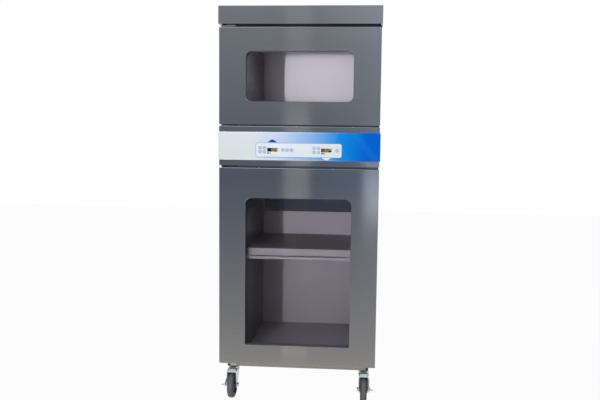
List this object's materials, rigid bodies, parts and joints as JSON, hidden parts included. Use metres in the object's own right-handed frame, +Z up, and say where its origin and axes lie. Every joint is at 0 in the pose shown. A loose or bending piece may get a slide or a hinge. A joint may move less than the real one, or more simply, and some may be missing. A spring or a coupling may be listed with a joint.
{
  "type": "blanket warming cabinet",
  "caption": "Tall stainless steel warming cabinet with a small upper chamber, a tall lower chamber with a shelf, hinged glazed doors, a keypad fascia between them and swivel casters.",
  "frame": {"origin": "on the floor under the middle of the cabinet's bounding box", "axes": "+Z up, the doors face -Y, +X to the right as seen facing the doors"},
  "size_m": [0.762, 0.673, 1.892],
  "materials": {
    "brushed_steel": "stainless sheet, number 4 brushed grain running across",
    "chamber_steel": "stainless sheet, fine brushed",
    "shelf_steel": "stainless sheet, satin",
    "hinge_steel": "satin",
    "zinc_sheet": "galvanised sheet",
    "caster_zinc": "bright zinc plate",
    "base_paint": "warm grey paint, semi-matte",
    "mineral_wool": "fibrous slab",
    "label_print": "printed film, pale grey to blue",
    "key_film": "printed film",
    "display_lens": "dark clear lens",
    "circuit_board": "solder-masked board with parts",
    "heater_sheath": "drawn metal sheath, heat-tinted",
    "motor_paint": "black enamel",
    "black_plastic": "moulded",
    "window_glass": "clear tempered pane",
    "seal_rubber": "black spacer",
    "gasket_rubber": "soft magnetic gasket",
    "bush_nylon": "natural nylon",
    "wheel_tread": "grey non-marking rubber on a grey core"
  },
  "bodies": {
    "cabinet": {"top_cap": "brushed_steel", "side_panel_left": "brushed_steel", "side_panel_right": "brushed_steel", "back_panel": "brushed_steel", "front_frame": "brushed_steel", "bottom_pan": "zinc_sheet", "insulation": "mineral_wool", "base_frame": "base_paint", "caster_stems": "caster_zinc", "upper_liner": "chamber_steel", "lower_liner": "chamber_steel", "upper_air_ducts": "chamber_steel", "lower_air_ducts": "chamber_steel", "shelf": "shelf_steel", "shelf_rack": "shelf_steel", "control_fascia": "brushed_steel", "control_label": "label_print", "display_windows": "display_lens", "control_board": "circuit_board", "heaters": "heater_sheath", "blower_motors": "motor_paint", "hinge_brackets": "hinge_steel", "power_inlet": "black_plastic", "temperature_probes": "heater_sheath"},
    "upper_door": {"upper_door_skin": "brushed_steel", "upper_door_pan": "brushed_steel", "upper_door_panes": "window_glass", "upper_window_seal": "seal_rubber", "upper_door_gasket": "gasket_rubber", "upper_hinge_blocks": "bush_nylon"},
    "upper_fan": {"upper_impeller": "zinc_sheet"},
    "lower_door": {"lower_door_skin": "brushed_steel", "lower_door_pan": "brushed_steel", "lower_door_panes": "window_glass", "lower_window_seal": "seal_rubber", "lower_door_gasket": "gasket_rubber", "lower_hinge_blocks": "bush_nylon"},
    "lower_fan": {"lower_impeller": "zinc_sheet"},
    "front_left_swivel": {"front_left_fork": "caster_zinc"},
    "front_left_wheel_body": {"front_left_wheel": "wheel_tread"},
    "front_right_swivel": {"front_right_fork": "caster_zinc"},
    "front_right_wheel_body": {"front_right_wheel": "wheel_tread"},
    "rear_left_swivel": {"rear_left_fork": "caster_zinc"},
    "rear_left_wheel_body": {"rear_left_wheel": "wheel_tread"},
    "rear_right_swivel": {"rear_right_fork": "caster_zinc"},
    "rear_right_wheel_body": {"rear_right_wheel": "wheel_tread"},
    "front_left_brake": {"front_left_brake_lever": "caster_zinc"},
    "front_right_brake": {"front_right_brake_lever": "caster_zinc"},
    "upper_program_button": {"upper_program_key": "key_film"},
    "upper_warmer_button": {"upper_warmer_key": "key_film"},
    "upper_timer_button": {"upper_timer_key": "key_film"},
    "upper_cooler_button": {"upper_cooler_key": "key_film"},
    "unit_button": {"unit_key": "key_film"},
    "lock_button": {"lock_key": "key_film"},
    "alarm_button": {"alarm_key": "key_film"},
    "lower_program_button": {"lower_program_key": "key_film"},
    "lower_warmer_button": {"lower_warmer_key": "key_film"},
    "lower_timer_button": {"lower_timer_key": "key_film"},
    "lower_cooler_button": {"lower_cooler_key": "key_film"},
    "power_button": {"power_key": "key_film"}
  },
  "joints": [
    {"name": "upper_door_swing", "type": "hinge", "parent": "cabinet", "child": "upper_door", "pos_m": [-0.3615, -0.313, 1.5705], "axis": [0, 0, -1], "range_deg": [0, 110]},
    {"name": "lower_door_swing", "type": "hinge", "parent": "cabinet", "child": "lower_door", "pos_m": [-0.3615, -0.313, 0.6685], "axis": [0, 0, -1], "range_deg": [0, 110]},
    {"name": "front_left_swivel_turn", "type": "hinge", "parent": "cabinet", "child": "front_left_swivel", "pos_m": [-0.325, -0.2365, 0.14], "axis": [0, 0, 1], "continuous": true},
    {"name": "front_left_wheel_roll", "type": "hinge", "parent": "front_left_swivel", "child": "front_left_wheel_body", "pos_m": [-0.325, -0.2715, 0.0635], "axis": [1, 0, 0], "continuous": true},
    {"name": "front_right_swivel_turn", "type": "hinge", "parent": "cabinet", "child": "front_right_swivel", "pos_m": [0.325, -0.2365, 0.14], "axis": [0, 0, 1], "continuous": true},
    {"name": "front_right_wheel_roll", "type": "hinge", "parent": "front_right_swivel", "child": "front_right_wheel_body", "pos_m": [0.325, -0.2715, 0.0635], "axis": [1, 0, 0], "continuous": true},
    {"name": "rear_left_swivel_turn", "type": "hinge", "parent": "cabinet", "child": "rear_left_swivel", "pos_m": [-0.325, 0.2365, 0.14], "axis": [0, 0, 1], "continuous": true},
    {"name": "rear_left_wheel_roll", "type": "hinge", "parent": "rear_left_swivel", "child": "rear_left_wheel_body", "pos_m": [-0.325, 0.2015, 0.0635], "axis": [1, 0, 0], "continuous": true},
    {"name": "rear_right_swivel_turn", "type": "hinge", "parent": "cabinet", "child": "rear_right_swivel", "pos_m": [0.325, 0.2365, 0.14], "axis": [0, 0, 1], "continuous": true},
    {"name": "rear_right_wheel_roll", "type": "hinge", "parent": "rear_right_swivel", "child": "rear_right_wheel_body", "pos_m": [0.325, 0.2015, 0.0635], "axis": [1, 0, 0], "continuous": true},
    {"name": "front_left_brake_press", "type": "hinge", "parent": "front_left_swivel", "child": "front_left_brake", "pos_m": [-0.325, -0.2585, 0.1005], "axis": [1, 0, 0], "range_deg": [0, 12]},
    {"name": "front_right_brake_press", "type": "hinge", "parent": "front_right_swivel", "child": "front_right_brake", "pos_m": [0.325, -0.2585, 0.1005], "axis": [1, 0, 0], "range_deg": [0, 12]},
    {"name": "upper_fan_spin", "type": "hinge", "parent": "cabinet", "child": "upper_fan", "pos_m": [-0.14, 0.02, 1.25], "axis": [0, 0, 1], "continuous": true},
    {"name": "lower_fan_spin", "type": "hinge", "parent": "cabinet", "child": "lower_fan", "pos_m": [0.14, 0.02, 1.25], "axis": [0, 0, 1], "continuous": true},
    {"name": "upper_program_key_press", "type": "slide", "parent": "cabinet", "child": "upper_program_button", "axis": [0, 1, 0], "range_m": [0, 0.0005], "stiffness_N_per_m": 3000, "springref_m": -0.0001},
    {"name": "upper_warmer_key_press", "type": "slide", "parent": "cabinet", "child": "upper_warmer_button", "axis": [0, 1, 0], "range_m": [0, 0.0005], "stiffness_N_per_m": 3000, "springref_m": -0.0001},
    {"name": "upper_timer_key_press", "type": "slide", "parent": "cabinet", "child": "upper_timer_button", "axis": [0, 1, 0], "range_m": [0, 0.0005], "stiffness_N_per_m": 3000, "springref_m": -0.0001},
    {"name": "upper_cooler_key_press", "type": "slide", "parent": "cabinet", "child": "upper_cooler_button", "axis": [0, 1, 0], "range_m": [0, 0.0005], "stiffness_N_per_m": 3000, "springref_m": -0.0001},
    {"name": "unit_key_press", "type": "slide", "parent": "cabinet", "child": "unit_button", "axis": [0, 1, 0], "range_m": [0, 0.0005], "stiffness_N_per_m": 3000, "springref_m": -0.0001},
    {"name": "lock_key_press", "type": "slide", "parent": "cabinet", "child": "lock_button", "axis": [0, 1, 0], "range_m": [0, 0.0005], "stiffness_N_per_m": 3000, "springref_m": -0.0001},
    {"name": "alarm_key_press", "type": "slide", "parent": "cabinet", "child": "alarm_button", "axis": [0, 1, 0], "range_m": [0, 0.0005], "stiffness_N_per_m": 3000, "springref_m": -0.0001},
    {"name": "lower_program_key_press", "type": "slide", "parent": "cabinet", "child": "lower_program_button", "axis": [0, 1, 0], "range_m": [0, 0.0005], "stiffness_N_per_m": 3000, "springref_m": -0.0001},
    {"name": "lower_warmer_key_press", "type": "slide", "parent": "cabinet", "child": "lower_warmer_button", "axis": [0, 1, 0], "range_m": [0, 0.0005], "stiffness_N_per_m": 3000, "springref_m": -0.0001},
    {"name": "lower_timer_key_press", "type": "slide", "parent": "cabinet", "child": "lower_timer_button", "axis": [0, 1, 0], "range_m": [0, 0.0005], "stiffness_N_per_m": 3000, "springref_m": -0.0001},
    {"name": "lower_cooler_key_press", "type": "slide", "parent": "cabinet", "child": "lower_cooler_button", "axis": [0, 1, 0], "range_m": [0, 0.0005], "stiffness_N_per_m": 3000, "springref_m": -0.0001},
    {"name": "power_key_press", "type": "slide", "parent": "cabinet", "child": "power_button", "axis": [0, 1, 0], "range_m": [0, 0.0005], "stiffness_N_per_m": 3000, "springref_m": -0.0001}
  ]
}
